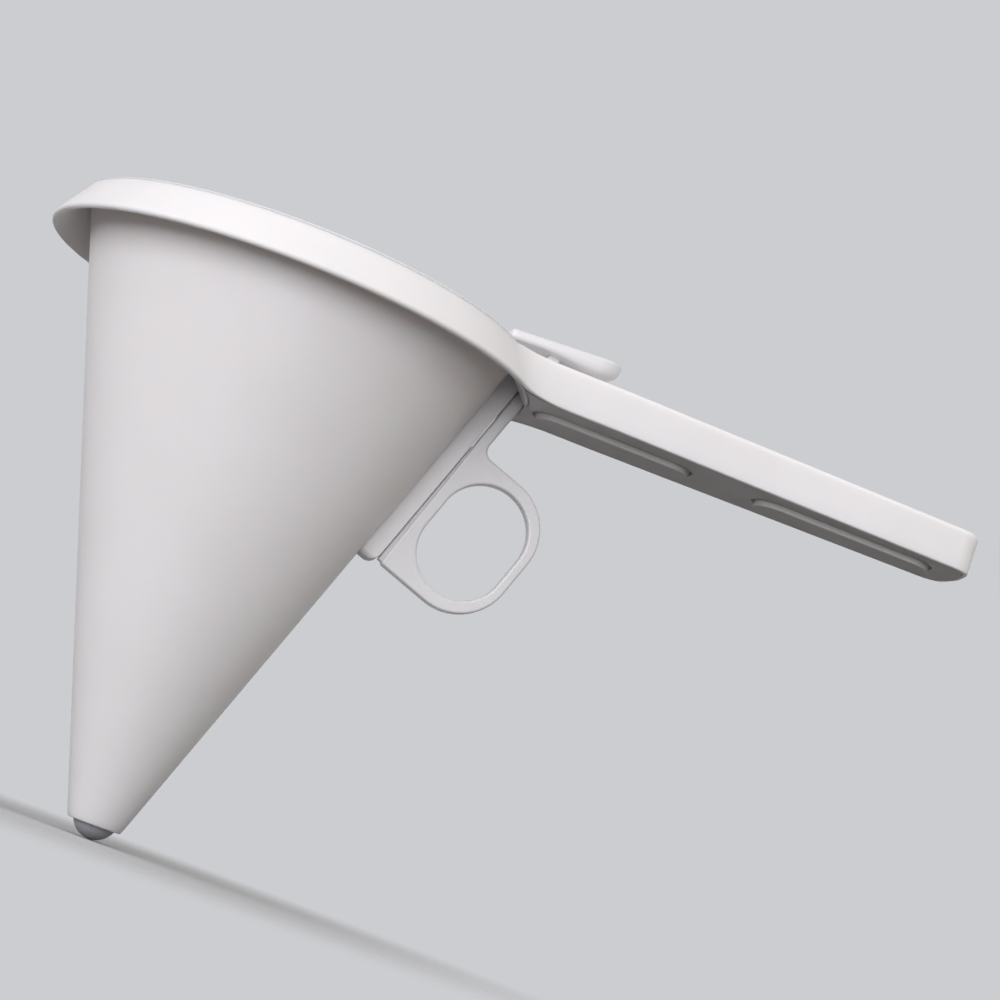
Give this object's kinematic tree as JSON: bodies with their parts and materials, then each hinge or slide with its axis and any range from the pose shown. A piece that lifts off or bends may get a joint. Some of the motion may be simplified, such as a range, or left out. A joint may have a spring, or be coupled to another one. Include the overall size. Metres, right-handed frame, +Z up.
{
  "type": "batter dispenser",
  "caption": "Hand-held conical batter dispenser with a flared collar, a flat handle, a finger ring and a thumb plate that slide together to lift a round stopper from the nozzle.",
  "frame": {"origin": "centre of the nozzle's outlet, on the hopper's axis", "axes": "+Z up the hopper's axis to its mouth, +X along the handle, Y across"},
  "size_m": [0.2335, 0.12, 0.1478],
  "materials": {
    "hopper_white": "satin moulded white polypropylene",
    "cover_white": "satin moulded white polypropylene",
    "valve_white": "glossy moulded white plastic",
    "stopper_grey": "smooth, slightly translucent pale grey"
  },
  "bodies": {
    "funnel": {"funnel_body": "hopper_white", "handle_cover": "cover_white"},
    "valve": {"trigger": "valve_white", "thumb_plate": "valve_white", "plunger_rod": "valve_white", "stopper_tip": "stopper_grey"}
  },
  "joints": [
    {"name": "valve_slide", "type": "slide", "parent": "funnel", "child": "valve", "axis": [0.3289, 0, 0.9444], "range_m": [0, 0.012]}
  ]
}
